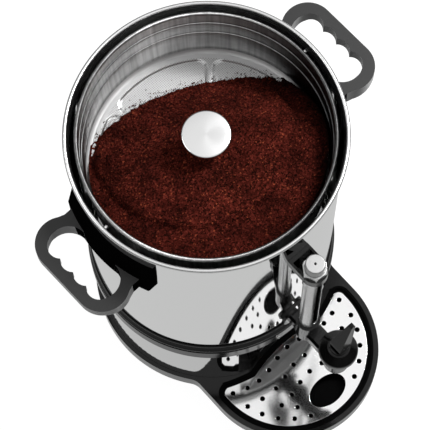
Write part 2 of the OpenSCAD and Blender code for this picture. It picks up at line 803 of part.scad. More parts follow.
module shank_nut() {
    y1 = -sqrt(pow(tank_in_r - seal_t, 2) - pow(shank_nut_r, 2)) + fit;
    color(steel) difference() {
        translate([0, y1 + shank_nut_t, shank_z]) rotate([90, 0, 0])
            cylinder(r = shank_nut_r, h = shank_nut_t, $fn = 6);
        rod_y(shank_bore_r + fit, -tank_r - 9, -spigot_y + 9, shank_z);
    }
}

module tap_body() {
    color(black) difference() {
        union() {
            rod_y(tail_r, -socket_y - 1, -tail_y - 0.3, shank_z);
            shank_block(-tap_y, -socket_y - fit);
            translate([0, -tap_y, 0]) {
                translate([0, 0, shank_z - 16]) cylinder(r = barrel_r, h = barrel_top - shank_z + 16);
                translate([0, 0, spout_z + 8])
                    cylinder(r1 = spout_r, r2 = barrel_r, h = shank_z - 16 - spout_z - 8);
                translate([0, 0, spout_z]) cylinder(r = spout_r, h = 9);
            }
        }
        rod_y(way_r, -tap_y, -tail_y + 2, shank_z);
        translate([0, -tap_y, spout_z - 1]) cylinder(r = way_r, h = 40);
        translate([0, -tap_y, spout_z - 1]) cylinder(r = spout_r - 2, h = 8);
        translate([0, -tap_y, seat_z]) cylinder(r = chamber_r, h = barrel_top - seat_z + 1);
    }
}

module tap_bonnet() {
    color(graphite) translate([0, -tap_y, 0]) difference() {
        rotate_extrude() {
            polygon([[0, bonnet_z], [bonnet_r - 1.5, bonnet_z], [bonnet_r, bonnet_z + 1.5],
                [bonnet_r, bonnet_z + 9], [bonnet_r - 1, bonnet_z + 11], [12, ring_z - 2],
                [11, ring_z - fit - 0.1], [0, ring_z - fit - 0.1]]);
        }
        translate([0, 0, bonnet_z - 1]) cylinder(r = barrel_r + fit, h = barrel_top + fit - bonnet_z + 1);
        translate([0, 0, bonnet_z]) cylinder(r = stem_r + running, h = 60);
    }
}

module lever_ring() {
    color(black) translate([0, -tap_y, 0]) tube(9.5, stem_r + running, ring_z, ring_z + ring_t);
}

module valve_stem() {
    color(steel) translate([0, -tap_y, 0]) difference() {
        translate([0, 0, seat_z + 1]) cylinder(r = stem_r, h = lever_z + 3 - seat_z - 1, $fn = 48);
        rod_y(lever_pin_r + running, -10, 10, lever_z);
    }
}

module seat_cup() {
    color([0.8, 0.8, 0.76]) translate([0, -tap_y, 0]) difference() {
        rotate_extrude() {
            translate([0, seat_z + 0.3]) square([way_r + 2.5, 4]);
            translate([0, seat_z + 4]) square([way_r + 0.5, 3.5]);
        }
        translate([0, 0, seat_z + 1 - fit]) cylinder(r = stem_r + fit, h = 20);
    }
}

module lever_pin() {
    color(steel) translate([0, -tap_y, 0]) rod_y(lever_pin_r, -7.4, 7.4, lever_z);
}

// Coil from the seat cup up to the bonnet.
module tap_spring() {
    turns = 6;
    wire = 0.6;
    coil_r = way_r + 1.6;
    z0 = seat_z + 4.4 + wire;
    rise = spring_top - wire - fit - z0;
    steps = turns * 14;
    sides = 8;
    points = [for (i = [0:steps]) for (k = [0:sides - 1])
        let (a = 360 * turns * i / steps, b = 360 * k / sides, r = coil_r + wire * cos(b))
        [r * cos(a), r * sin(a), z0 + rise * i / steps + wire * sin(b)]];
    last = steps * sides;
    faces = concat([[for (k = [0:sides - 1]) k]],
        [for (i = [0:steps - 1]) for (k = [0:sides - 1])
            let (n = (k + 1) % sides) [i * sides + k, (i + 1) * sides + k, (i + 1) * sides + n, i * sides + n]],
        [[for (k = [sides - 1:-1:0]) last + k]]);
    color(steel) translate([0, -tap_y, 0]) polyhedron(points = points, faces = faces);
}

// Fork over the stem with a cam below and a tapering blade that leans to the side.
// The cam is cut so that its lowest point drops evenly with the turn of the lever.
module tap_lever() {
    blade_l = norm([lever_reach, lever_rise]);
    lean = atan2(lever_rise, lever_reach);
    color(black) translate([0, -tap_y, lever_z]) difference() {
        intersection() {
            rotate([90, 0, 0]) linear_extrude(16, center = true) union() {
                circle(r = cam_r);
                polygon(concat([[0, 0], [0, -cam_r]], [for (a = [-90:5:5 - lean / 2]) cam_point(a)]));
                rotate(lean) polygon([[0, -cam_r], [8, -8.2], [blade_l - 2, -3], [blade_l, -1.5],
                    [blade_l, 1.5], [blade_l - 2, 3], [4, 6.4], [0, cam_r]]);
            }
            rotate([0, -lean, 0]) linear_extrude(60, center = true)
                polygon([[-12, -7.6], [4, -7.6], [blade_l, -2.6], [blade_l, 2.6], [4, 7.6], [-12, 7.6]]);
        }
        rod_y(lever_pin_r + running, -10, 10, 0);
        for (turn = [0, 17, 34, 50]) rotate([0, -turn, 0])
            box([-stem_r - 1.4, -stem_r - slack, -14], [stem_r + 1.4, stem_r + slack, 4.4]);
    }
}

function cam_point(a) = let (h = cam_r + cam_rate * (a + 90) * PI / 180)
    [h * cos(a) - cam_rate * sin(a), h * sin(a) + cam_rate * cos(a)];

// ---------- basket, coffee and riser ----------

module filter_basket() {
    wall_top = basket_top - basket_bead_r;
    bead_x = basket_rim_r - basket_bead_r;
    ri = basket_floor_r;
    corner = basket_corner_r;
    s = basket_sheet;
    color(steel) difference() {
        union() {
            rotate_extrude($fn = 200) {
                translate([bead_x, wall_top]) circle(r = basket_bead_r, $fn = 32);
                polygon([[ri, basket_floor + corner], [ri + s, basket_floor + corner],
                    [bead_x + 0.4, wall_top], [bead_x - 0.4, wall_top]]);
                for (z = [basket_top - 21, basket_top - 43])
                    translate([ri + (bead_x - ri) * (z - basket_floor) / basket_depth, z])
                        circle(r = 1.3, $fn = 24);
                intersection() {
                    translate([ri - corner, basket_floor - s]) square([corner + s, corner + s]);
                    translate([ri - corner, basket_floor + corner]) difference() {
                        circle(r = corner + s, $fn = 48);
                        circle(r = corner, $fn = 48);
                    }
                }
                translate([hub_r, basket_floor - s]) square([ri - corner - hub_r, s]);
                polygon([[hub_r, basket_floor - s], [hub_r, basket_floor + hub_h], [hub_r + s, basket_floor + hub_h],
                    [hub_r + s + 4, basket_floor + 4], [hub_r + s + 10, basket_floor - s]]);
            }
            for (i = [0:5]) rotate([0, 0, 47 + 60 * i]) box([24, -3, basket_floor - s / 2], [ri - 9, 3, basket_floor + rib_h]);
            tube(ri - 7, ri - 10, basket_floor - s / 2, basket_floor + rib_h);
        }
        translate([0, 0, basket_floor - 5]) cylinder(r = hub_r - 0.5, h = 60);
    }
}

// Ground coffee heaped against the near side, sloping down to the bare floor behind.
module coffee_grounds() {
    z0 = basket_floor + rib_h + slack;
    r = basket_floor_r - slack - 1;
    color([0.25, 0.07, 0.04]) difference() {
        intersection() {
            translate([0, 0, z0]) cylinder(r = r, h = heap_h, $fn = 120);
            rotate([0, 0, heap_turn]) translate([0, far, 0]) rotate([90, 0, 0]) linear_extrude(2 * far)
                polygon([[-far, z0], [heap_edge, z0], [heap_edge, z0 + 2], [heap_edge - heap_run, z0 + heap_h],
                    [-far, z0 + heap_h]]);
        }
        translate([0, 0, z0 - 1]) cylinder(r1 = hub_r + 14, r2 = hub_r + 5, h = hub_h + 1);
        translate([0, 0, z0 - 1]) cylinder(r = hub_r + 5, h = heap_h + 2);
    }
}

module riser_tube() {
    color(steel) difference() {
        union() {
            translate([0, 0, riser_z + 3]) cylinder(r = riser_r, h = riser_top - riser_z - 3);
            translate([0, 0, collar_z - 3]) cylinder(r = collar_r, h = 3);
            translate([0, 0, collar_z - 15]) cylinder(r1 = riser_r + 1, r2 = collar_r - 2, h = 12.01);
        }
        translate([0, 0, riser_z]) cylinder(r = riser_r - riser_wall, h = riser_top);
    }
}

module pump_foot() {
    color(steel) difference() {
        rotate_extrude() polygon([[0, riser_z], [foot_r, riser_z], [foot_r, riser_z + foot_rim],
            [riser_r + 6, riser_z + 16], [riser_r + 2, riser_z + 22], [0, riser_z + 22]]);
        translate([0, 0, riser_z - 1]) cylinder(r = foot_r - 2, h = 6);
        translate([0, 0, riser_z + 3 - fit]) cylinder(r = riser_r + fit, h = 40);
        for (a = [0, 60, 120]) rotate([0, 0, a]) box([-foot_r - 1, -4, riser_z - 1], [foot_r + 1, 4, riser_z + 3]);
    }
}

module pump_valve() {
    color(steel) tube(riser_r - riser_wall - fit, valve_hole_r, valve_z, valve_z + valve_t);
}

module riser_cap() {
    top = basket_top;
    color(steel) difference() {
        rotate_extrude() {
            polygon([[0, top - riser_cap_t], [riser_cap_r, top - riser_cap_t], [riser_cap_r, top - 1],
                [riser_cap_r - 1, top - 0.2], [0, top]]);
            translate([0, cap_seat - cap_socket])
                square([riser_r + 3, top - riser_cap_t - cap_seat + cap_socket + 0.5]);
        }
        translate([0, 0, cap_seat - 2 * cap_socket]) cylinder(r = riser_r + running, h = 2 * cap_socket);
        for (a = [0, 90]) rotate([0, 0, a])
            box([-riser_r - 5, -2.5, cap_seat - 4], [riser_r + 5, 2.5, cap_seat]);
    }
}

// ---------- inside the base ----------

module heater_plate() {
    z1 = tank_floor_z - fit;
    color([0.7, 0.7, 0.7]) difference() {
        union() {
            translate([0, 0, z1 - heater_t]) cylinder(r = heater_r, h = heater_t);
            for (s = [-1, 1]) translate([s * 20, heater_r - 14, z1 - heater_t - 14]) cylinder(r = 3.5, h = 15);
        }
        translate([0, 0, z1 - heater_t - 1]) cylinder(r = well_r + fit, h = 40);
    }
}

module heater_clamp() {
    z = tank_floor_z - fit - heater_t - fit;
    color([0.6, 0.6, 0.62]) {
        box([-8, -heater_r - 6, z - 2], [8, heater_r - 20, z]);
        box([-8, -heater_r - 6, z - 2], [8, -heater_r - 2, z + heater_t + fit]);
        translate([0, 0, z - 2]) cylinder(r = well_r + 6, h = 2);
    }
}

module thermostat() {
    z = tank_floor_z - fit;
    color([0.25, 0.2, 0.15]) translate([sensor_x, sensor_y, 0]) {
        translate([0, 0, z - 3]) cylinder(r = 12, h = 3);
        translate([0, 0, z - 13]) cylinder(r = 8.5, h = 10.01);
        for (s = [-1, 1]) box([s * 5 - 0.4, -3, z - 21], [s * 5 + 0.4, 3, z - 12.9]);
    }
}

module thermal_fuse() {
    z = tank_floor_z - fit;
    color([0.7, 0.65, 0.5]) translate([-sensor_x, sensor_y, 0]) {
        box([-8, -3, z - 1.2], [8, 3, z]);
        translate([-9, 0, z - 4.1]) rotate([0, 90, 0]) cylinder(r = 3, h = 18);
    }
}

module switch_body() {
    z = rocker_centre_z();
    color(black) difference() {
        union() {
            box([-rocker_w / 2 + fit, -panel_face_y - 1, z - rocker_h / 2 + fit],
                [rocker_w / 2 - fit, -panel_face_y + 18, z + rocker_h / 2 - fit]);
            box([-rocker_w / 2 - 1.5, -panel_face_y - 1.6, z - rocker_h / 2 - 1.5],
                [rocker_w / 2 + 1.5, -panel_face_y - fit, z + rocker_h / 2 + 1.5]);
        }
        box([-rocker_w / 2 + 2, -panel_face_y - 4, z - rocker_h / 2 + 2],
            [rocker_w / 2 - 2, -panel_face_y + 6, z + rocker_h / 2 - 2]);
        rotate([0, 0, 90]) rod_y(1.5 + running, -rocker_w, rocker_w, z, -panel_face_y + 2);
    }
}

// Rocker on two trunnions, stored in its off position with the top pressed in.
module power_rocker() {
    z = rocker_centre_z();
    half = rocker_w / 2 - 2 - slack;
    tall = rocker_h / 2 - 3.4;
    color([0.6, 0.05, 0.04]) translate([0, -panel_face_y + 2, z]) rotate([-rocker_tilt, 0, 0]) {
        translate([-half, 0, 0]) rotate([90, 0, 90]) linear_extrude(2 * half)
            polygon([[0, -2.5], [0, 2.5], [-3.6, tall], [-4.8, tall], [-3.4, 0], [-4.8, -tall], [-3.6, -tall]]);
        rotate([0, 90, 0]) cylinder(r = 1.5, h = 2 * half + 3.6, center = true);
    }
}

module pilot_lamps() {
    color([0.9, 0.4, 0.1]) for (s = [-1, 1]) {
        rod_y(lamp_r, -panel_face_y - 0.2, -panel_face_y + lamp_depth, rocker_centre_z(), s * lamp_x());
        rod_y(lamp_r + 1.2, -panel_face_y - 1.8, -panel_face_y - fit, rocker_centre_z(), s * lamp_x());
    }
}

module mains_inlet() {
    y1 = tank_r + 2.2;
    color(black) {
        difference() {
            union() {
                box([-inlet_w / 2, tank_r - 22, inlet_z - inlet_h / 2], [inlet_w / 2, y1, inlet_z + inlet_h / 2]);
                box([-inlet_w / 2 - 3, tank_r + 0.5, inlet_z - inlet_h / 2 - 3],
                    [inlet_w / 2 + 3, y1, inlet_z + inlet_h / 2 + 3]);
            }
            box([-inlet_w / 2 + 2.5, tank_r - 16, inlet_z - inlet_h / 2 + 2.5],
                [inlet_w / 2 - 2.5, y1 + 1, inlet_z + inlet_h / 2 - 2.5]);
        }
        for (p = [[-7, -1.5], [0, 2.5], [7, -1.5]])
            box([p[0] - 1, tank_r - 17, inlet_z + p[1] - 2.2], [p[0] + 1, tank_r - 3, inlet_z + p[1] + 2.2]);
    }
}

module tie_rods() {
    color(steel) for (a = rod_angles) rotate([0, 0, a]) translate([rod_ring, 0, 0])
        translate([0, 0, cover_z - 0.5]) cylinder(r = rod_r, h = tank_floor_z - fit - cover_z + 0.5);
}

module tie_nuts() {
    color(steel) for (a = rod_angles) rotate([0, 0, a]) translate([rod_ring, 0, cover_z + cover_t + fit])
        difference() {
            cylinder(r = nut_r, h = nut_t, $fn = 6);
            translate([0, 0, -1]) cylinder(r = rod_r + fit, h = nut_t + 2);
        }
}

module cover_screws() {
    color(steel) for (a = [45, 135, 225, 315]) rotate([0, 0, a]) translate([base_bore_r + 4, 0, 0]) {
        translate([0, 0, foot_h - 1.2]) cylinder(r = 3, h = 1.2 - fit);
        translate([0, 0, foot_h - 1.2]) cylinder(r = 1.4, h = 10);
    }
}

tank();
trim_band();
base_skirt();
front_panel();
base_ring();
bottom_cover();
rubber_feet();
drip_tray();
drip_plate();
handle_left();
handle_right();
handle_bolts();
lid_lock_studs();
gauge_bracket();
bracket_screws();
gauge_guard();
gauge_glass();
gauge_nut();
gauge_cap();
gauge_seals();
tap_shank();
shank_seals();
shank_nut();
tap_body();
tap_bonnet();
lever_ring();
valve_stem();
seat_cup();
lever_pin();
tap_spring();
tap_lever();
filter_basket();
coffee_grounds();
riser_tube();
pump_foot();
pump_valve();
riser_cap();
heater_plate();
heater_clamp();
thermostat();
thermal_fuse();
switch_body();
power_rocker();
pilot_lamps();
mains_inlet();
tie_rods();
tie_nuts();
cover_screws();
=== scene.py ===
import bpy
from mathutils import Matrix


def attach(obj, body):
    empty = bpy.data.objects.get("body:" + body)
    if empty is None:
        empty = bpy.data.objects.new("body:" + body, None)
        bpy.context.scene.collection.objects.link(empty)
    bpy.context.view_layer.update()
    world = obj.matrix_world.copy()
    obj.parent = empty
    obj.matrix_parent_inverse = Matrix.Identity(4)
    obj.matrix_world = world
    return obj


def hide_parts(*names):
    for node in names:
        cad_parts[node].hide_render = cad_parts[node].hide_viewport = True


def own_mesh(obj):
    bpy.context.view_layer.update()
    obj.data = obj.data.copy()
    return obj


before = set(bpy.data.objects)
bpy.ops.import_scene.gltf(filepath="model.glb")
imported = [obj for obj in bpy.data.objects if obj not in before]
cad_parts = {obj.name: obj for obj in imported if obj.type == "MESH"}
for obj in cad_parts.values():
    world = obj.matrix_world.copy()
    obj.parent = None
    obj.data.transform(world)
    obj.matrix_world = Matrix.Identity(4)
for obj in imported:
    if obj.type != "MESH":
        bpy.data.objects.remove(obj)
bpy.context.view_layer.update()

import math

import bmesh
import bpy
import numpy as np
from mathutils import Vector, noise

# ---------------------------------------------------------------- camera
# The urn is looked at steeply from above, from its front left, through a long lens.
# The picture is square, so the lens is given for a 36 mm wide sensor.
scene = bpy.context.scene
scene.view_settings.view_transform = "Standard"


def place_object(name, data):
    """A new object in the scene that shows a mesh, a lamp or a camera."""
    made = bpy.data.objects.new(name, data)
    scene.collection.objects.link(made)
    return made


camera = place_object("camera", bpy.data.cameras.new("camera"))
scene.camera = camera
camera.data.lens = 165.666
camera.data.sensor_width = 36
camera.data.clip_end = 50
camera.location = (-0.40361, -0.49606, 2.26732)
camera.rotation_euler = [math.radians(a) for a in (17.4047, 0.6978, -41.825)]

# ---------------------------------------------------------------- studio
# A pale table top that goes on to a white surround. Polished steel and glossy black
# mirror a darker strip just over the table's edge, under a white ceiling.


def rgb(red, green=None, blue=None):
    """A colour with full alpha. One number alone is a grey."""
    return (red, red, red, 1) if green is None else (red, green, blue, 1)


def shader_node(tree, kind, feeds=None, **settings):
    """A shader node with its settings. A feed is a number, a colour, a vector or a socket."""
    made = tree.nodes.new("ShaderNode" + kind)
    for setting, value in settings.items():
        setattr(made, setting, value)
    for socket, value in (feeds or {}).items():
        if isinstance(value, bpy.types.NodeSocket):
            tree.links.new(value, made.inputs[socket])
        else:
            made.inputs[socket].default_value = value
    return made


def reckon(tree, operation, first, second=0.5):
    """The result of one operation on two numbers or sockets."""
    return shader_node(tree, "Math", {0: first, 1: second}, operation=operation).outputs[0]


def blend(tree, share, first, second, **settings):
    """Two colours mixed, with the share of the second."""
    feeds = {"Factor": share, "A": first, "B": second}
    return shader_node(tree, "Mix", feeds, data_type="RGBA", **settings).outputs["Result"]


def ramp(tree, value, stops):
    """A colour for each value, from stops of a place between 0 and 1 and its colour."""
    made = shader_node(tree, "ValToRGB", {"Fac": value})
    marks = made.color_ramp.elements
    for mark, (place, colour) in zip(marks, (stops[0], stops[-1])):
        mark.position = place
        mark.color = colour
    for place, colour in stops[1:-1]:
        marks.new(place).color = colour
    return made.outputs["Color"]


world = bpy.data.worlds.new("studio")
scene.world = world
world.use_nodes = True
sky = world.node_tree
ray = shader_node(sky, "LightPath").outputs
way = shader_node(sky, "TexCoord").outputs["Generated"]
tilt = {"Vector": way, "Axis": (0.667, 0.745, 0), "Angle": math.radians(-7)}
lean = shader_node(sky, "VectorRotate", tilt, rotation_type="AXIS_ANGLE")
upward = shader_node(sky, "SeparateXYZ", {"Vector": lean.outputs[0]}).outputs["Z"]
ceiling = ramp(sky, upward, ((0.0, rgb(0.02)), (0.2, rgb(0.05)), (0.45, rgb(0.25)),
                             (0.7, rgb(0.75)), (0.86, rgb(1))))
mirrored = blend(sky, ray["Is Glossy Ray"], rgb(0.4), ceiling)
direct = reckon(sky, "MAXIMUM", ray["Is Camera Ray"], ray["Is Transmission Ray"])
sky.links.new(blend(sky, direct, mirrored, rgb(1)), sky.nodes["Background"].inputs["Color"])

# The table reaches so far out that its corners don't show in the polished tank.
reach = 30
table_mesh = bpy.data.meshes.new("table_top")
table_mesh.from_pydata([(-reach, -reach, 0), (reach, -reach, 0), (reach, reach, 0), (-reach, reach, 0)],
                       [], [(0, 1, 2, 3)])
table_top = place_object("table_top", table_mesh)
table_paint = bpy.data.materials.new("table white")
table_paint.use_nodes = True
table = table_paint.node_tree
table.nodes.clear()
ray = shader_node(table, "LightPath").outputs
matt = shader_node(table, "BsdfDiffuse", {"Color": rgb(0.85)})
faint_shadow = shader_node(table, "BsdfDiffuse", {"Color": rgb(0.16)})
white_glow = shader_node(table, "Emission", {"Color": rgb(0.94)})
mirror_glow = shader_node(table, "Emission", {"Color": rgb(0.57, 0.573, 0.57)})
seen_table = shader_node(table, "AddShader", {0: faint_shadow.outputs[0], 1: white_glow.outputs[0]})
for_camera = shader_node(table, "MixShader",
                         {"Fac": ray["Is Camera Ray"], 1: matt.outputs[0], 2: seen_table.outputs[0]})
for_mirrors = shader_node(table, "MixShader",
                          {"Fac": ray["Is Glossy Ray"], 1: for_camera.outputs[0], 2: mirror_glow.outputs[0]})
shader_node(table, "OutputMaterial", {"Surface": for_mirrors.outputs[0]})
table_mesh.materials.append(table_paint)


def softbox(name, place, aim, size, watts):
    """A rectangular lamp that faces the point it is aimed at."""
    lamp = bpy.data.lights.new(name, "AREA")
    lamp.shape = "RECTANGLE"
    lamp.size, lamp.size_y = size
    lamp.energy = watts
    stand = place_object(name, lamp)
    stand.location = place
    stand.rotation_euler = (Vector(aim) - Vector(place)).to_track_quat("-Z", "Y").to_euler()


softbox("key", (1.45, -0.35, 2.6), (0, 0, 0.4), (0.6, 0.6), 60)
softbox("fill", (-1.6, 1.2, 2.2), (0, 0, 0.3), (1.6, 1.0), 12)

# ---------------------------------------------------------------- foot ring and tray holder
# One thick moulding in black polypropylene. A groove on its top takes the skirt,
# and its round front forms the pocket for the drip tray. The outer edge is well rounded.


def settle(piece):
    """Makes the work of a piece's modifiers part of its mesh."""
    rough = piece.data
    piece.data = bpy.data.meshes.new_from_object(piece.evaluated_get(bpy.context.evaluated_depsgraph_get()))
    piece.modifiers.clear()
    bpy.data.meshes.remove(rough)


def dress(piece, body, coat, crease=35.0):
    """The coat of a piece, the body it moves with, and smooth shading between its creases."""
    piece.data.materials.clear()
    piece.data.materials.append(coat)
    if crease is not None:
        piece.data.polygons.foreach_set("use_smooth", [True] * len(piece.data.polygons))
        piece.data.set_sharp_from_angle(angle=math.radians(crease))
    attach(piece, body)


def eased(node, name, edge, body, coat, steps=3, reshape=None):
    """A copy of a solid with its sharp edges rounded off, which stands for it."""
    cut = bmesh.new()
    cut.from_mesh(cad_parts[node].data)
    bmesh.ops.remove_doubles(cut, verts=cut.verts, dist=2e-6)
    bmesh.ops.dissolve_limit(cut, angle_limit=math.radians(0.4), verts=cut.verts, edges=cut.edges)
    if reshape:
        reshape(cut)
    for face in cut.faces:
        face.smooth = True
    mesh = bpy.data.meshes.new(name)
    cut.to_mesh(mesh)
    cut.free()
    piece = place_object(name, mesh)
    if edge:
        bevel = piece.modifiers.new("edges", "BEVEL")
        bevel.width = edge
        bevel.segments = steps
        bevel.limit_method = "ANGLE"
        bevel.angle_limit = math.radians(30)
        bevel.miter_outer = "MITER_ARC"
        even = piece.modifiers.new("flat faces stay flat", "WEIGHTED_NORMAL")
        even.weight = 80
        settle(piece)
    dress(piece, body, coat, None if edge else 35.0)
    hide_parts(node)
    return piece


def paint(name, colour, roughness, metallic=0.0, **more):
    """A material with one shader, whose fixed numbers sit on its own sockets."""
    made = bpy.data.materials.new(name)
    made.use_nodes = True
    shader = made.node_tree.nodes["Principled BSDF"]
    shader.inputs["Base Color"].default_value = colour
    shader.inputs["Roughness"].default_value = roughness
    shader.inputs["Metallic"].default_value = metallic
    for socket, value in more.items():
        shader.inputs[socket.replace("_", " ")].default_value = value
    return made, shader


def effect(name, inputs, outputs):
    """An empty shader node group. An input is a number or a colour, and an output a kind of socket."""
    group = bpy.data.node_groups.new(name, "ShaderNodeTree")
    for label, value in inputs.items():
        kind = "NodeSocketColor" if isinstance(value, tuple) else "NodeSocketFloat"
        group.interface.new_socket(label, in_out="INPUT", socket_type=kind).default_value = value
    for label, kind in outputs.items():
        group.interface.new_socket(label, in_out="OUTPUT", socket_type="NodeSocket" + kind)
    return group, group.nodes.new("NodeGroupInput").outputs, group.nodes.new("NodeGroupOutput").inputs


def drive(made, shader, group, feeds):
    """Lets an effect give a material its colour, roughness and normal."""
    used = shader_node(made.node_tree, "Group", feeds, node_tree=group)
    for given, taken in (("Color", "Base Color"), ("Roughness", "Roughness"), ("Normal", "Normal")):
        made.node_tree.links.new(used.outputs[given], shader.inputs[taken])


def clouds(tree, where, scale, detail=2, stretch=None):
    """Soft random greys over a place, which may be stretched first."""
    if stretch:
        where = shader_node(tree, "Mapping", {"Vector": where, "Scale": stretch}).outputs[0]
    return shader_node(tree, "TexNoise", {"Vector": where, "Scale": scale, "Detail": detail}).outputs["Fac"]


def rescale(tree, value, old, new):
    """One range of a value mapped on to another."""
    feeds = {"Value": value, "From Min": old[0], "From Max": old[1], "To Min": new[0], "To Max": new[1]}
    return shader_node(tree, "MapRange", feeds).outputs[0]


# Fine grain of a moulding: a shallow bump and a slight change of colour and gloss.
mould_grain, take, give = effect("moulded grain",
    {"Grain Size": 0.0006, "Depth": 0.15, "Dark": rgb(0.01), "Light": rgb(0.02),
     "Gloss Low": 0.4, "Gloss High": 0.5},
    {"Color": "Color", "Roughness": "Float", "Normal": "Vector"})
where = shader_node(mould_grain, "TexCoord").outputs["Object"]
grains = clouds(mould_grain, where, reckon(mould_grain, "DIVIDE", 1.0, take["Grain Size"]), 3)
cloud = clouds(mould_grain, where, 22, 4)
bump = shader_node(mould_grain, "Bump", {"Distance": 0.0002, "Strength": take["Depth"], "Height": grains})
mould_grain.links.new(blend(mould_grain, cloud, take["Dark"], take["Light"]), give["Color"])
rough = rescale(mould_grain, cloud, (0, 1), (take["Gloss Low"], take["Gloss High"]))
mould_grain.links.new(rough, give["Roughness"])
mould_grain.links.new(bump.outputs[0], give["Normal"])


def moulded(name, dark, light, gloss, grain=0.0006, depth=0.15, shine=0.2, bloom=0.0):
    """Moulded plastic or rubber between two colours and two degrees of gloss."""
    made, shader = paint(name, dark, gloss[0],
                         Specular_IOR_Level=shine, Sheen_Weight=bloom, Sheen_Roughness=0.3)
    drive(made, shader, mould_grain, {"Grain Size": grain, "Depth": depth, "Dark": dark, "Light": light,
                                      "Gloss Low": gloss[0], "Gloss High": gloss[1]})
    return made


base_black = moulded("base moulding black", rgb(0.001), rgb(0.002), (0.1, 0.16), depth=0.04, shine=0.35)
eased("base_ring", "foot_ring_and_tray_holder", 0.0016, "urn", base_black)

# ---------------------------------------------------------------- feet, cover and what closes the base
# Soft rubber pads under the moulding, a pressed sheet below the electrics, and the
# screws, rods and nuts that clamp the base, the skirt, the band and the tank together.
foot_rubber = moulded("foot rubber", rgb(0.012), rgb(0.02), (0.7, 0.85), 0.0009, 0.3)


def worn(name, dark, light, gloss, metallic=1.0):
    """Plated or cast metal, or a glaze, with cloudy changes of colour and gloss."""
    made = moulded(name, dark, light, gloss, 0.0015, 0.08, 0.5)
    made.node_tree.nodes["Principled BSDF"].inputs["Metallic"].default_value = metallic
    return made


def recoat(coat, *cad_nodes):
    """The coat of solids that are shown as they are."""
    for cad_node in cad_nodes:
        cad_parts[cad_node].data.materials.clear()
        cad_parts[cad_node].data.materials.append(coat)


plated = worn("zinc plate", rgb(0.42, 0.42, 0.4), rgb(0.6, 0.6, 0.57), (0.3, 0.5))
cast_metal = worn("cast aluminium", rgb(0.45), rgb(0.6), (0.45, 0.65))
glaze = worn("glazed ceramic", rgb(0.6, 0.56, 0.48), rgb(0.75, 0.7, 0.6), (0.12, 0.2), metallic=0.0)
recoat(foot_rubber, "rubber_feet")
recoat(plated, "bottom_cover", "tie_rods", "tie_nuts", "cover_screws", "heater_clamp")
recoat(cast_metal, "heater_plate")
recoat(glaze, "thermostat", "thermal_fuse")

# ---------------------------------------------------------------- skirt
# A rolled sheet of mirror-polished stainless steel that stands in the groove of the
# base. Its front is drawn in to a niche over the drip plate, with a window for the switch.

# Polished sheet: faint long waves from rolling and a light veil of fine polishing lines.
polish, take, give = effect("polished sheet",
    {"Wave": 0.1, "Veil": 0.02, "Gloss": 0.05, "Steel": rgb(0.7)},
    {"Color": "Color", "Roughness": "Float", "Normal": "Vector"})
where = shader_node(polish, "TexCoord").outputs["Object"]
rolled = clouds(polish, where, 1.0, 1, stretch=(9, 9, 2))
lines = clouds(polish, where, 1.0, 2, stretch=(60, 60, 2400))
sway = shader_node(polish, "Bump", {"Distance": 0.004, "Strength": take["Wave"], "Height": rolled})
veil = reckon(polish, "MULTIPLY", lines, take["Veil"])
polish.links.new(blend(polish, veil, take["Steel"], rgb(0.6), blend_type="MULTIPLY"), give["Color"])
polish.links.new(reckon(polish, "ADD", veil, take["Gloss"]), give["Roughness"])
polish.links.new(sway.outputs[0], give["Normal"])


def polished(name, steel, gloss, wave=0.1, veil=0.05):
    """Polished or brushed steel. Gloss is its roughness, and the veil adds to that in fine lines."""
    made, shader = paint(name, rgb(steel), gloss, 1.0)
    drive(made, shader, polish, {"Wave": wave, "Veil": veil, "Gloss": gloss, "Steel": rgb(steel)})
    return made


def second_coat(piece, coat, chosen):
    """Another coat on those faces of a piece that are chosen."""
    piece.data.materials.append(coat)
    for face in piece.data.polygons:
        if chosen(face):
            face.material_index = 1


skirt_steel = polished("mirror steel of the skirt", 0.72, 0.03, 0.0, 0.03)
skirt = eased("base_skirt", "skirt", 0.0, "urn", skirt_steel)

# The ceiling of the niche under the band is a dark, rough steel: painted shade.
shaded_ceiling_steel = polished("niche ceiling steel with painted shade", 0.26, 0.25, 0.0, 0.3)
second_coat(skirt, shaded_ceiling_steel, lambda face: face.normal.z < -0.7 and face.center.z > 0.1)

# ---------------------------------------------------------------- control panel
# A black moulding behind the window in the niche. A red rocker with an amber lamp on
# each side is clipped into its face, and the mains inlet sits at the back of the skirt.
panel_black = moulded("panel black", rgb(0.006), rgb(0.012), (0.35, 0.5))
eased("front_panel", "control_panel", 0.0008, "urn", panel_black)
eased("switch_body", "rocker_frame", 0.0005, "urn", panel_black)
rocker_red = moulded("rocker red", rgb(0.32, 0.01, 0.01), rgb(0.4, 0.015, 0.012), (0.15, 0.25), 0.001, 0.03)
eased("power_rocker", "rocker", 0.0004, "rocker", rocker_red)
lamp_amber = moulded("lamp amber", rgb(0.7, 0.22, 0.03), rgb(0.85, 0.32, 0.05), (0.08, 0.15), 0.001, 0.03)
eased("pilot_lamps", "lamps", 0.0005, "urn", lamp_amber)
eased("mains_inlet", "inlet", 0.0005, "urn", panel_black)

# ---------------------------------------------------------------- black band
# The moulded band that joins skirt and tank: a plain face below, and two rounded
# ridges above it that run into the tank.


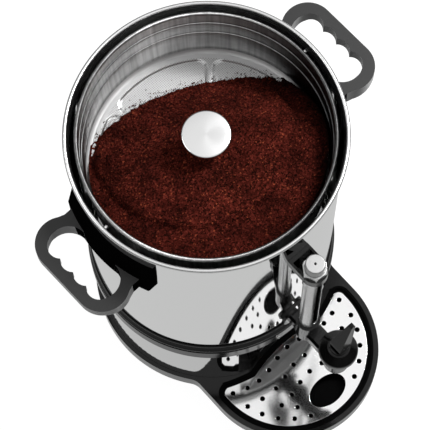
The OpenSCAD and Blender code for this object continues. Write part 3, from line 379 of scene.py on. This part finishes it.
def spun(name, outline, steps=192):
    """A ring or a bowl turned about the vertical axis from a closed outline of (radius, height)."""
    points, faces = [], []
    count = len(outline)
    for i in range(steps):
        a = 2 * math.pi * i / steps
        points += [(r * math.cos(a), r * math.sin(a), z) for r, z in outline]
    for i in range(steps):
        j = (i + 1) % steps
        for k in range(count):
            m = (k + 1) % count
            faces.append((i * count + k, j * count + k, j * count + m, i * count + m))
    turned = bmesh.new()
    ring = [turned.verts.new(p) for p in points]
    for face in faces:
        turned.faces.new([ring[v] for v in face])
    bmesh.ops.remove_doubles(turned, verts=turned.verts, dist=1e-7)
    bmesh.ops.dissolve_degenerate(turned, edges=turned.edges, dist=1e-7)
    bmesh.ops.recalc_face_normals(turned, faces=turned.faces)
    mesh = bpy.data.meshes.new(name)
    turned.to_mesh(mesh)
    turned.free()
    return place_object(name, mesh)


def arc(centre, radius, start, end, steps):
    """Points of an arc in the (radius, height) plane, angles in degrees."""
    turns = [math.radians(start + (end - start) * i / steps) for i in range(steps + 1)]
    return [(centre[0] + radius * math.cos(a), centre[1] + radius * math.sin(a)) for a in turns]


band_black = moulded("band black", rgb(0.001), rgb(0.002), (0.1, 0.16), depth=0.04, shine=0.12)
face_r, bore_r, ledge_r = 0.137, 0.1329, 0.1209
foot_z, lip, ridge = 0.139, 0.0008, 0.0055
band = spun("black_band",
    # the plain face, from its rounded foot to the notch under the ridges
    [(bore_r, foot_z)] + arc((face_r - lip, foot_z + lip), lip, -90, 0, 4)
    + [(face_r, 0.1402), (face_r, 0.1592), (face_r, 0.1596), (0.1352, 0.1606)]
    # the two ridges, with the upper one further in
    + arc((0.1314, 0.166), ridge, -42, 35, 12) + [(0.1352, 0.1714)]
    + arc((0.1292, 0.1768), ridge, -30, 60, 12)
    # down the bore, round the ledge that carries the tank, and on to the foot
    + [(bore_r, 0.1806), (bore_r, 0.17605), (ledge_r, 0.17595), (ledge_r, 0.1721), (bore_r, 0.17205)])
dress(band, "urn", band_black)
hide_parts("trim_band")

# ---------------------------------------------------------------- tank
# A deep drawn tank in mirror-polished stainless steel. Its mouth flares out and ends in
# a rolled bead, and its floor has a round well for the pump foot.
wall_steel = polished("mirror steel of the tank", 0.92, 0.02, 0.0, 0.03)
wall_r, sheet, corner_r = 0.1328, 0.001, 0.008
floor_z, flare_z = 0.176, 0.475
well_r, well_z = 0.03, 0.1701
corner = (wall_r - corner_r, floor_z + corner_r)
tank_wall = spun("tank_shell",
    # inside: well, floor, corner and wall
    [(0.0, well_z + sheet), (well_r - sheet, well_z + sheet), (well_r - sheet, floor_z + sheet)]
    + arc(corner, corner_r - sheet, -90, 0, 8)
    + [(wall_r - sheet, 0.185), (wall_r - sheet, flare_z), (wall_r - sheet, flare_z + 0.0005)]
    # the flare, out and up to the bead, and back down outside
    + [(0.13185, 0.4772), (0.1322, 0.4795), (0.1331, 0.4822), (0.1340, 0.4846), (0.13455, 0.4862)]
    + arc((0.1358, 0.4878), 0.0022, 205, -100, 22)
    + [(0.13545, 0.48545), (0.1348, 0.4838), (0.1341, 0.4818), (0.1333, 0.4794), (0.1329, 0.4772)]
    # outside: wall, corner, floor and well
    + [(wall_r, flare_z + 0.0005), (wall_r, flare_z), (wall_r, 0.185)]
    + arc(corner, corner_r, 0, -90, 8)
    + [(well_r, floor_z), (well_r, well_z), (0.0, well_z)], 256)
dress(tank_wall, "urn", wall_steel, 50)

# The flare and the bead have a satin finish.
rim_steel = polished("satin steel of the rim", 0.7, 0.22, 0.0, 0.1)
second_coat(tank_wall, rim_steel, lambda face: face.center.z > 0.4765)
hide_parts("tank")
stud_steel = polished("stud steel", 0.8, 0.12, 0.0)
eased("lid_lock_studs", "lid_studs", 0.0, "urn", stud_steel)

# ---------------------------------------------------------------- handles
# Two heat-resistant mouldings with four finger grooves, bolted through the tank wall.
# Their edges are lightly rounded and their faces carry a fine spark-eroded grain.
handle_black = moulded("handle charcoal", rgb(0.012), rgb(0.016), (0.35, 0.45), 0.0005, 0.2, 0.4, bloom=0.6)
# A darker copy of the handle black with no shine or sheen: painted shade for the faces that lean.
handle_painted_shade_black = moulded("handle slope painted shade black", rgb(0.001), rgb(0.002), (0.3, 0.4), 0.0005, 0.1, shine=0.0)


def slopes(face):
    """Faces of a handle that lean, and the outer face of its root; both get a darker black without shine or
    sheen, painted shade.
    """
    outward = Vector((face.center.x, face.center.y, 0))
    leans = 0.12 < face.normal.z < 0.93
    at_root = outward.length < 0.1485
    return leans or (at_root and face.normal.dot(outward.normalized()) > 0.3 and face.normal.z > -0.2)


for side in ("left", "right"):
    handle = eased("handle_" + side, side + "_handle", 0.0012, "urn", handle_black)
    second_coat(handle, handle_painted_shade_black, slopes)
bolt_steel = worn("bolt steel", rgb(0.55), rgb(0.68), (0.25, 0.35))
recoat(bolt_steel, "handle_bolts", "bracket_screws", "shank_nut", "valve_stem", "lever_pin", "pump_valve")

# ---------------------------------------------------------------- sight gauge
# A glass tube in a polished guard tube with a long slot, held by a black arm at the top
# and a cup on the tap shank below. A hexagon nut and a vented screw cap close it.
arm_black = moulded("arm black", rgb(0.002), rgb(0.004), (0.12, 0.18), depth=0.06, shine=0.35)
eased("gauge_bracket", "gauge_arm", 0.0007, "urn", arm_black)
guard_steel = polished("guard steel", 0.7, 0.22, 0.0)
eased("gauge_guard", "gauge_tube_guard", 0.0002, "urn", guard_steel)
eased("gauge_nut", "gauge_hexagon_nut", 0.0005, "urn", guard_steel)
cap_steel = polished("turned cap steel", 0.4, 0.3, 0.0, 0.3)
eased("gauge_cap", "gauge_screw_cap", 0.0003, "urn", cap_steel)
tube_glass, shader = paint("gauge glass", rgb(0.96, 0.98, 0.98), 0.02, 0.0, Transmission_Weight=1.0, IOR=1.47)
smears = shader_node(tube_glass.node_tree, "TexNoise", {"Scale": 40}).outputs["Fac"]
rough = rescale(tube_glass.node_tree, smears, (0, 1), (0.01, 0.06))
tube_glass.node_tree.links.new(rough, shader.inputs["Roughness"])
eased("gauge_glass", "gauge_glass_tube", 0.0, "urn", tube_glass)
seal_silicone = moulded("silicone", rgb(0.55, 0.55, 0.52), rgb(0.65, 0.65, 0.62), (0.4, 0.5), 0.0008, 0.1)
recoat(seal_silicone, "gauge_seals", "seat_cup")
recoat(foot_rubber, "shank_seals")

# ---------------------------------------------------------------- tap
# A black moulded tap: square shank, barrel with spout, round bonnet, and a lever that
# forks over the valve stem on a turning ring.
tap_black = moulded("tap black", rgb(0.001), rgb(0.002), (0.08, 0.14), depth=0.06, shine=0.35)
eased("tap_shank", "shank_and_gauge_cup", 0.0006, "urn", tap_black)
eased("tap_body", "barrel_and_spout", 0.0006, "urn", tap_black)
eased("tap_bonnet", "bonnet", 0.0006, "urn", tap_black)
eased("lever_ring", "turning_ring", 0.0003, "tap_swivel_ring", tap_black)
eased("tap_lever", "lever", 0.0006, "tap_handle", tap_black)

# The stem's collar pushes the lower end of the spring up, and the bonnet holds its upper end.
coil_spring = eased("tap_spring", "coil_spring", 0.0, "tap_stem", bolt_steel)
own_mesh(coil_spring)

# ---------------------------------------------------------------- filter basket
# A spun stainless basket with a rolled rim, two beads round its wall, and a perforated
# floor that is pressed into six panels between narrow ribs.


def turned_on_lathe(made, strength):
    """Draws the shine of a material out round the vertical axis."""
    shader = made.node_tree.nodes["Principled BSDF"]
    shader.inputs["Anisotropic"].default_value = strength
    around = shader_node(made.node_tree, "Tangent", direction_type="RADIAL", axis="Z")
    made.node_tree.links.new(around.outputs[0], shader.inputs["Tangent"])


# The wall's colour is painted with light towards the camera's left and painted shade towards its right, from
# one side of the basket to the other, under upright streaks.
basket_steel = polished("basket steel", 0.42, 0.3, 0.0, 0.3)
turned_on_lathe(basket_steel, 0.85)
tree = basket_steel.node_tree
tree.nodes["Principled BSDF"].inputs["Specular IOR Level"].default_value = 0.3
where = shader_node(tree, "TexCoord").outputs["Object"]
across = shader_node(tree, "VectorMath", {0: where, 1: (0.745, -0.667, 0)}, operation="DOT_PRODUCT")
place = rescale(tree, across.outputs["Value"], (-0.12, 0.12), (0, 1))
painted_side_light = ramp(tree, place, ((0.0, rgb(0.22)), (0.15, rgb(0.36)), (0.27, rgb(0.76)), (0.5, rgb(0.48)),
                               (0.7, rgb(0.3)), (0.88, rgb(0.12)), (1.0, rgb(0.1))))
streaks = rescale(tree, clouds(tree, where, 1.0, stretch=(260, 260, 4)), (0.3, 0.7), (0.75, 1.25))
tree.links.new(reckon(tree, "MULTIPLY", painted_side_light, streaks), tree.nodes["Group"].inputs["Steel"])

corner, bead = (0.1161, 0.4071), 0.0015
basket_wall = spun("basket_wall",
    # outside: from the floor's edge round the corner and up the wall to the rolled rim
    [(0.1161, 0.4021)] + arc(corner, 0.0058, -90, 0, 8)
    + [(0.1227, 0.4445), (0.1236, 0.4662), (0.12455, 0.4853)]
    + arc((0.12495, 0.48685), 0.00215, -75, 255, 20)[1:]
    # inside: down the wall, round the upper and the lower bead, and round the corner
    + [(0.1237, 0.4853), (0.1231, 0.4702)] + arc((0.1233, 0.468), bead, 100, 260, 8)
    + [(0.1229, 0.4655), (0.1224, 0.4482)] + arc((0.1227, 0.446), bead, 100, 260, 8)
    + [(0.1221, 0.4435), (0.1210, 0.4072)] + arc(corner, 0.0049, 0, -90, 8)[1:], 256)
dress(basket_wall, "basket", basket_steel, 50)

# The round corner at the foot of the wall is less glossy than the wall, and painted paler: painted light over
# the shade at the wall's foot.
painted_light_corner_steel = polished("basket corner steel", 0.72, 0.6, 0.0, 0.3)
second_coat(basket_wall, painted_light_corner_steel, lambda face: face.normal.z > 0.05 and face.center.z < 0.408)
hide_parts("filter_basket")

# Perforation: rows of tiny holes drawn as dots.
sieve, take, give = effect("perforation", {"Pitch": 0.0018, "Hole": 0.3}, {"Mask": "Float"})
where = shader_node(sieve, "TexCoord").outputs["Object"]
flat = shader_node(sieve, "SeparateXYZ", {"Vector": where}).outputs
from_hole = {}
for axis in ("X", "Y"):
    part = reckon(sieve, "FRACT", reckon(sieve, "DIVIDE", flat[axis], take["Pitch"]))
    from_hole[axis] = reckon(sieve, "SUBTRACT", part, 0.5)
off_centre = shader_node(sieve, "CombineXYZ", from_hole).outputs[0]
far = shader_node(sieve, "VectorMath", {0: off_centre}, operation="LENGTH").outputs["Value"]
sieve.links.new(reckon(sieve, "LESS_THAN", far, take["Hole"]), give["Mask"])

# The floor is perforated up to a plain margin.
floor_steel, shader = paint("perforated floor steel", rgb(0.6), 0.42, 1.0)
tree = floor_steel.node_tree
dots = shader_node(tree, "Group", {"Pitch": 0.0019, "Hole": 0.27}, node_tree=sieve).outputs["Mask"]
where = shader_node(tree, "TexCoord").outputs["Object"]
flat = shader_node(tree, "VectorMath", {0: where, 1: (1, 1, 0)}, operation="MULTIPLY").outputs[0]
far = shader_node(tree, "VectorMath", {0: flat}, operation="LENGTH").outputs["Value"]
punched = reckon(tree, "MULTIPLY", reckon(tree, "LESS_THAN", far, 0.1125), dots)
sink = shader_node(tree, "Bump", {"Strength": 0.3, "Distance": 0.0003, "Height": punched}, invert=True)
tree.links.new(blend(tree, punched, rgb(0.6), rgb(0.3)), shader.inputs["Base Color"])
tree.links.new(sink.outputs[0], shader.inputs["Normal"])


def panel_depth(x, y):
    """How far the floor is raised, in metres: ribs and margin stand over the six pressed panels."""
    press, half_rib, margin_r, corner = 0.0016, 0.0035, 0.1105, 0.010
    r = math.hypot(x, y)
    turn = (math.degrees(math.atan2(y, x)) - 47) % 60
    to_rib = r * math.sin(math.radians(min(turn, 60 - turn))) - half_rib
    to_ring = margin_r - r
    inward = max(0.0, corner - to_rib), max(0.0, corner - to_ring)
    inside = min(min(to_rib, to_ring), corner - math.hypot(*inward)) if max(inward) > 0 else corner
    step = min(1.0, max(0.0, inside / press + 0.5))
    return press * (1 - step * step * (3 - 2 * step))


def disc(name, inner, outer, rings, spokes, height):
    """A fine round sheet whose height is given by a function of place."""
    points, faces = [], []
    for i in range(rings + 1):
        r = inner + (outer - inner) * i / rings
        for k in range(spokes):
            a = 2 * math.pi * k / spokes
            x, y = r * math.cos(a), r * math.sin(a)
            points.append((x, y, height(x, y)))
    for i in range(rings):
        for k in range(spokes):
            m = (k + 1) % spokes
            faces.append((i * spokes + k, (i + 1) * spokes + k, (i + 1) * spokes + m, i * spokes + m))
    mesh = bpy.data.meshes.new(name)
    mesh.from_pydata(points, [], faces)
    return place_object(name, mesh)


basket_floor = disc("basket_floor", 0.0082, 0.1163, 150, 360, lambda x, y: 0.40205 + panel_depth(x, y))
thick = basket_floor.modifiers.new("sheet", "SOLIDIFY")
thick.thickness = 0.0006
thick.offset = -1
settle(basket_floor)
dress(basket_floor, "basket", floor_steel)

# The hub guides the riser tube through the floor and spreads out into it.
hub_bore_r, hub_foot_r = 0.008, 0.018
basket_hub = spun("basket_hub", [(hub_bore_r, 0.4015), (hub_bore_r, 0.424), (0.0088, 0.424), (0.0128, 0.406),
                                 (hub_foot_r, 0.4031), (hub_foot_r, 0.4016)], 64)
dress(basket_hub, "basket", basket_steel)

# ---------------------------------------------------------------- riser and pump
# The riser tube stands in the pump foot and carries the basket on its collar. Its round
# cap is spun from satin steel, with the rays that spinning leaves.
riser_steel = polished("riser steel", 0.7, 0.12, 0.0)
recoat(riser_steel, "riser_tube", "pump_foot")
spun_cap, shader = paint("spun cap steel", rgb(0.76), 0.2, 1.0)
turned_on_lathe(spun_cap, 0.5)
tree = spun_cap.node_tree
where = shader_node(tree, "TexCoord").outputs["Object"]
rings = shader_node(tree, "TexWave", {"Vector": where, "Scale": 900, "Distortion": 0.6},
                    wave_type="RINGS", rings_direction="Z")
lathe_lines = shader_node(tree, "Bump",
                          {"Strength": 0.04, "Distance": 0.0002, "Height": rings.outputs["Fac"]})
tree.links.new(lathe_lines.outputs[0], shader.inputs["Normal"])
cap_r, socket_r, bore_r = 0.0241, 0.01, 0.00715
cap_disc = spun("riser_cap_disc",
    # the top and its rounded edge
    [(0.0, 0.4889), (0.0226, 0.48875), (0.0235, 0.4885), (0.0240, 0.4880), (cap_r, 0.4874), (cap_r, 0.4856)]
    # under the edge to the socket, down its outside and up its bore
    + [(0.0237, 0.4851), (socket_r, 0.485), (socket_r, 0.4663), (0.0098, 0.4661)]
    + [(bore_r, 0.4661), (bore_r, 0.4801), (0.0, 0.4801)], 128)
dress(cap_disc, "riser_top", spun_cap)
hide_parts("riser_cap")

# ---------------------------------------------------------------- ground coffee
# A loose heap tipped against the near side of the basket. It runs out in crumbs on the
# bare floor behind, and a shallow step parts its round top from the lower rim by the wall.


def smooth(share):
    """A step from 0 to 1 that starts and ends level."""
    return share * share * (3 - 2 * share)


def waves(x, y, fineness, layer):
    """Random heights between about -1 and 1, the same at each run."""
    return noise.noise((x * fineness, y * fineness, layer))


def heap_height(x, y):
    """Height of the heap over the floor and distance inside its toe; all in millimetres."""
    # the toe runs across the floor in a curve, ragged at three sizes
    toe = (87.5 - 0.2617 * x - 0.00289 * x * x - y) * 0.928
    toe += 2.4 * waves(x, y, 0.06, 3.1) + 1.6 * waves(x, y, 0.2, 7.7)
    toe += 1.2 * waves(x, y, 0.55, 2.2)
    # from the toe it rises at one slope, and rounds over to its level top
    slope, crown = 0.7 * max(0.0, toe), 61
    rise = slope / (1 + (slope / crown) ** 6) ** (1 / 6)
    # past the round top it steps down to the rim by the wall
    top_r, ledge = 99, 5.5
    past = math.hypot(x, y - 20) - top_r + 2.5 * waves(x, y, 0.05, 8.2)
    if past > -3:
        rise -= ledge * smooth(min(1.0, (past + 3) / 7)) * (1 - 0.5 * min(1.0, max(0.0, past) / 22))
    rise += 1.5 * waves(x, y, 0.045, 0.4) * min(1.0, rise / 12)
    # pits, deepest near the toe
    pit = waves(x, y, 0.11, 6.6) - 0.28
    if pit > 0:
        rise -= 9 * pit * math.exp(-toe / 30) * min(1.0, rise / 5)
    return rise, toe


def heap_top(x, y):
    """The heap's surface with its grains, in millimetres over the table, and the distance inside its toe."""
    lowest, bed, highest = 403.55, 403.7, 463.3
    rise, toe = heap_height(x, y)
    lumps = noise.cell((x * 0.75 + 0.4 * math.sin(y), y * 0.75 + 0.4 * math.sin(x), 9.0)) - 0.5
    grain = 0.6 * waves(x, y, 0.45, 1.0) + 0.5 * waves(x, y, 0.9, 5.0) + 0.55 * lumps
    z = bed + max(0.0, rise) + grain * min(1.0, 0.3 + max(0.0, rise) / 6)
    return min(highest, max(lowest, z)), toe


# A square grid of points, cut round by the wall and by the hub and left out past the toe.
grounds = bmesh.new()
step, wall_reach, hub_reach = 0.9, 118.4, 13.5
cells = {}
span = int(wall_reach / step) + 1
for i in range(-span, span + 1):
    for k in range(-span, span + 1):
        x, y = i * step, k * step
        r = math.hypot(x, y)
        if r > wall_reach + step * 0.7 or r < hub_reach:
            continue
        if r > wall_reach:
            x, y = x * wall_reach / r, y * wall_reach / r
        z, toe = heap_top(x, y)
        if toe < -1.0:
            continue
        cells[i, k] = grounds.verts.new((x / 1000, y / 1000, z / 1000))
for i, k in cells:
    ring = [cells.get((i + a, k + b)) for a, b in ((0, 0), (1, 0), (1, 1), (0, 1))]
    if all(ring):
        grounds.faces.new(ring)
loose = [v for v in grounds.verts if not v.link_faces]
bmesh.ops.delete(grounds, geom=loose, context="VERTS")

# Its edge is drawn straight down on to the floor.
rim = [e for e in grounds.edges if e.is_boundary]
hem = bmesh.ops.extrude_edge_only(grounds, edges=rim)
for part in hem["geom"]:
    if isinstance(part, bmesh.types.BMVert):
        part.co.z = 0.4035
bmesh.ops.recalc_face_normals(grounds, faces=grounds.faces)
heap_mesh = bpy.data.meshes.new("coffee_heap")
grounds.to_mesh(heap_mesh)
grounds.free()
coffee_heap = place_object("coffee_heap", heap_mesh)

# Coarse bits on the heap, and crumbs that have rolled out past its toe.
dice = np.random.default_rng(7)
bit_count, toe_count, bit_reach = 2600, 900, 116.5
bit_points, bit_faces = [], []
corners = ((1, 0, 0), (0, 1, 0), (-1, 0, 0), (0, -1, 0), (0, 0, 1), (0, 0, -1))
sides = ((0, 1, 4), (1, 2, 4), (2, 3, 4), (3, 0, 4), (1, 0, 5), (2, 1, 5), (3, 2, 5), (0, 3, 5))
placed = 0
while placed < bit_count:
    r, a = bit_reach * math.sqrt(dice.random()), 2 * math.pi * dice.random()
    x, y = r * math.cos(a), r * math.sin(a)
    z, toe = heap_top(x, y)
    strays = 0.9 * math.exp(toe / 3.2) if toe < 0 else 1.0
    if r < 25 or toe < -14 or dice.random() > strays or (placed < toe_count and toe > 5):
        continue
    size = 0.42 + 0.5 * dice.random() ** 2
    turn = 2 * math.pi * dice.random()
    base = len(bit_points)
    for cx, cy, cz in corners:
        far = size * (0.7 + 0.6 * dice.random())
        bit_points.append(((x + far * (cx * math.cos(turn) - cy * math.sin(turn))) / 1000,
                           (y + far * (cx * math.sin(turn) + cy * math.cos(turn))) / 1000,
                           (z + 0.25 * size + 0.75 * far * cz) / 1000))
    bit_faces += [tuple(base + c for c in side) for side in sides]
    placed += 1
bits_mesh = bpy.data.meshes.new("coffee_bits")
bits_mesh.from_pydata(bit_points, [], bit_faces)
coffee_bits = place_object("coffee_bits", bits_mesh)

# Each grain has its own roast. Drifts of colour run over the heap.
coffee, shader = paint("ground coffee", rgb(0.06, 0.009, 0.005), 1.0, 0.0, Specular_IOR_Level=0.04)
tree = coffee.node_tree
where = shader_node(tree, "TexCoord").outputs["Object"]
bits = shader_node(tree, "TexVoronoi", {"Vector": where, "Scale": 700})
pick = shader_node(tree, "SeparateColor", {"Color": bits.outputs["Color"]}).outputs[0]
roast = ramp(tree, pick, ((0.0, rgb(0.008, 0.002, 0.001)), (0.3, rgb(0.035, 0.005, 0.003)),
                          (0.7, rgb(0.066, 0.0095, 0.006)), (0.95, rgb(0.11, 0.018, 0.012)),
                          (1.0, rgb(0.22, 0.045, 0.02))))
drift_and_painted_shade = rescale(tree, clouds(tree, where, 45, 5), (0.35, 0.65), (0.6, 1.3))

# The heap is painted much darker by the wall on the camera's right, a painted shadow of that wall, and
# painted a little darker on its lower rim, painted shade below the step.
for middle, start, end, least in (((-0.0254, 0.016, 0.45), 0.126, 0.148, 0.12),
                                  ((0, 0.02, 0.45), 0.096, 0.106, 0.85)):
    away = shader_node(tree, "VectorMath", {0: where, 1: middle}, operation="DISTANCE").outputs["Value"]
    drift_and_painted_shade = reckon(tree, "MULTIPLY", drift_and_painted_shade, rescale(tree, away, (start, end), (1.0, least)))
roast_drift_and_shade = shader_node(tree, "VectorMath", {0: roast, "Scale": drift_and_painted_shade}, operation="SCALE")
gritty = shader_node(tree, "Bump", {"Strength": 0.7, "Distance": 0.0008, "Height": bits.outputs["Distance"]})
tree.links.new(roast_drift_and_shade.outputs[0], shader.inputs["Base Color"])
tree.links.new(gritty.outputs[0], shader.inputs["Normal"])
dress(coffee_heap, "basket", coffee, 180)
dress(coffee_bits, "basket", coffee, 10)
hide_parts("coffee_grounds")

# ---------------------------------------------------------------- drip tray and plate
# A black tub that lifts out of the holder, and a mirror-polished plate on its ledge with
# punched drain holes and an oval hole to lift it by.
tub_black = moulded("tub black", rgb(0.001), rgb(0.002), (0.15, 0.2), depth=0.05, shine=0.02)
eased("drip_tray", "tray_tub", 0.0006, "tray", tub_black)


def widen_drain_holes(sheet):
    """Opens each punched drain hole by the roll that the punch leaves on its edge."""
    roll, largest = 0.14, 0.003
    left = {face for face in sheet.faces if abs(face.normal.z) < 0.3}
    while left:
        wall, fresh = set(), [left.pop()]
        while fresh:
            face = fresh.pop()
            wall.add(face)
            near = {other for edge in face.edges for other in edge.link_faces if other in left}
            left -= near
            fresh += near
        rim = {vert for face in wall for vert in face.verts}
        # an exact sum, which comes out the same in whatever order the points are taken
        middle = Vector([math.fsum(vert.co[axis] for vert in rim) / len(rim) for axis in range(3)])
        if max((vert.co - middle).length for vert in rim) < largest:
            for vert in rim:
                vert.co.x += roll * (vert.co.x - middle.x)
                vert.co.y += roll * (vert.co.y - middle.y)


plate_steel = polished("plate steel", 0.9, 0.07, 0.0, 0.02)
eased("drip_plate", "tray_plate_sheet", 0.0003, "tray_plate", plate_steel, steps=2,
      reshape=widen_drain_holes)
